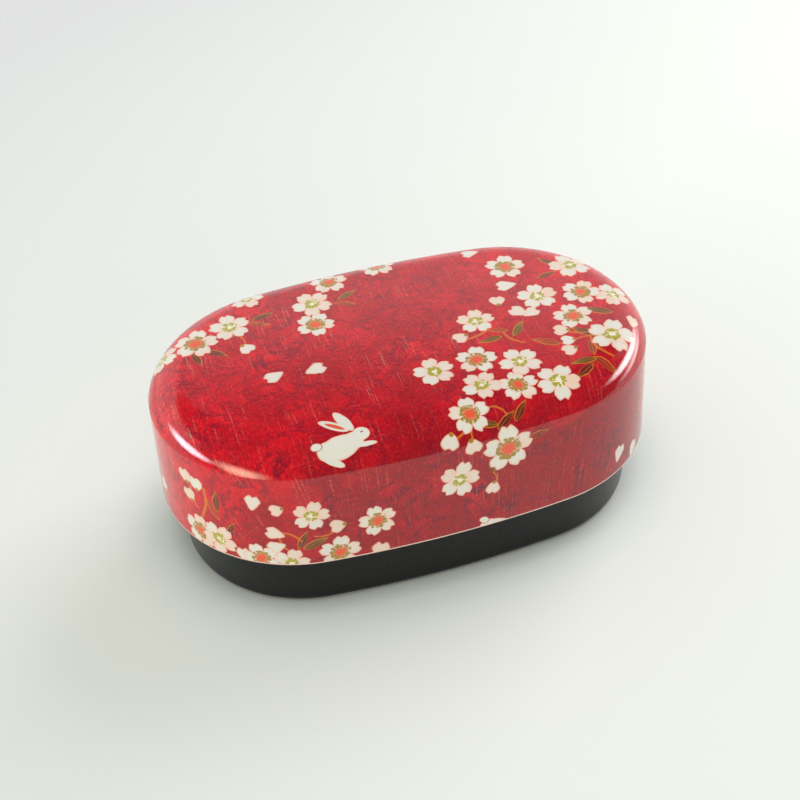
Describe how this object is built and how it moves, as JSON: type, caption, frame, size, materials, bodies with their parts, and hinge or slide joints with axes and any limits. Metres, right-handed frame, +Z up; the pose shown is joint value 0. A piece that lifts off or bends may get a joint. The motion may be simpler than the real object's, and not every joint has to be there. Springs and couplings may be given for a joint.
{
  "type": "oval lunch box",
  "caption": "Oval one-tier lunch box with a deep cloth-faced cap over a black tub, a gasketed inner lid and a loose divider.",
  "frame": {"origin": "middle of the box's underside, at the height of the table", "axes": "+Z up, +X along the box's length, +Y towards the back"},
  "size_m": [0.175, 0.1054, 0.0689],
  "materials": {
    "tub_urethane": "satin black urethane sprayed on ABS",
    "cap_plastic": "moulded black ABS, fine satin",
    "divider_plastic": "milky polyethylene",
    "inner_lid_plastic": "milky polypropylene",
    "silicone": "translucent silicone",
    "printed_cloth": "printed red cotton sealed under glossy clear urethane"
  },
  "bodies": {
    "tub": {"container": "tub_urethane"},
    "partition": {"divider": "divider_plastic"},
    "seal_lid": {"inner_lid": "inner_lid_plastic", "inner_lid_gasket": "silicone"},
    "cap": {"lid_shell": "cap_plastic", "lid_cloth": "printed_cloth"}
  },
  "joints": [
    {"name": "divider_lift", "type": "slide", "parent": "tub", "child": "partition", "axis": [0, 0, 1], "range_m": [0, 0.075]},
    {"name": "inner_lid_lift", "type": "slide", "parent": "partition", "child": "seal_lid", "axis": [0, 0, 1], "range_m": [0, 0.06]},
    {"name": "cap_lift", "type": "slide", "parent": "seal_lid", "child": "cap", "axis": [0, 0, 1], "range_m": [0, 0.07]}
  ]
}
